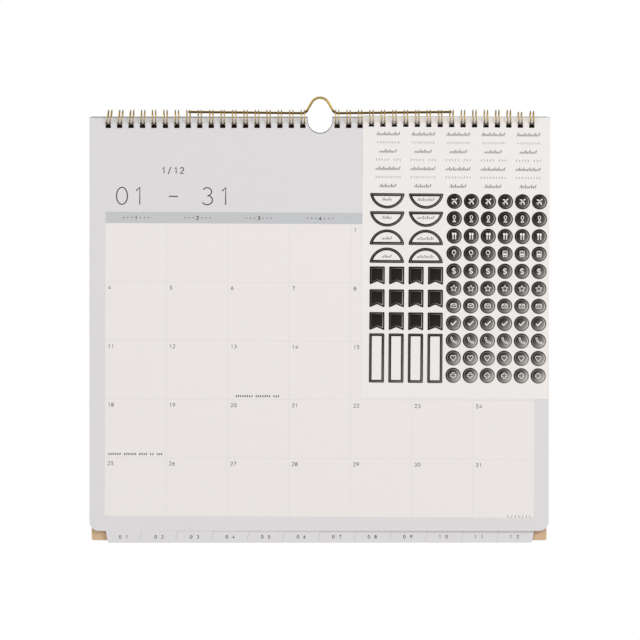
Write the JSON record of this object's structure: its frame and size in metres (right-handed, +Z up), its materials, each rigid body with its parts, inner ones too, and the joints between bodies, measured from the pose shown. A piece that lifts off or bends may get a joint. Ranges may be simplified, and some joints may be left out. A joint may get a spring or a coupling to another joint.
{
  "type": "wall calendar",
  "caption": "Twin-loop bound wall calendar with month tabs, a sheet of planner stickers, a card backing and a wire hanger.",
  "frame": {"origin": "inside top of the hanger's eye, where the nail bears, in the middle of the wire", "axes": "+X across the calendar to the viewer's right, +Y into the wall, +Z up"},
  "size_m": [0.3409, 0.0113, 0.3301],
  "materials": {
    "hanger_wire": "bright gold-coloured wire",
    "binding_wire": "satin gold-coloured wire",
    "kraft_board": "uncoated kraft card",
    "page_paper": "matte uncoated paper",
    "sticker_paper": "smooth matte paper",
    "sticker_foil": "dark silver foil"
  },
  "bodies": {
    "hanger": {"hanger": "hanger_wire"},
    "binding": {"binding_wire_left": "binding_wire", "binding_wire_right": "binding_wire"},
    "board": {"backing_board": "kraft_board"},
    "pages": {"month_pages": "page_paper"},
    "stickers": {"sticker_sheet": "sticker_paper", "half_round_stickers": "sticker_foil", "banner_stickers": "sticker_foil", "box_stickers": "sticker_foil", "plane_stickers": "sticker_foil", "key_stickers": "sticker_foil", "cutlery_stickers": "sticker_foil", "balloon_stickers": "sticker_foil", "bus_stickers": "sticker_foil", "coin_stickers": "sticker_foil", "star_stickers": "sticker_foil", "envelope_stickers": "sticker_foil", "check_stickers": "sticker_foil", "phone_stickers": "sticker_foil", "heart_stickers": "sticker_foil", "cross_stickers": "sticker_foil"}
  },
  "joints": [
    {"name": "calendar_swing", "type": "hinge", "parent": "hanger", "child": "binding", "pos_m": [0, 0, -0.01015], "axis": [1, 0, 0], "range_deg": [-90, 90]},
    {"name": "board_swing", "type": "hinge", "parent": "binding", "child": "board", "pos_m": [0, 0, -0.0135], "axis": [1, 0, 0], "range_deg": [0, 45]},
    {"name": "pages_lift", "type": "hinge", "parent": "binding", "child": "pages", "pos_m": [0, 0, -0.0135], "axis": [-1, 0, 0], "range_deg": [0, 45]},
    {"name": "sticker_sheet_lift", "type": "hinge", "parent": "pages", "child": "stickers", "pos_m": [0, 0, -0.0135], "axis": [-1, 0, 0], "range_deg": [0, 45]}
  ]
}
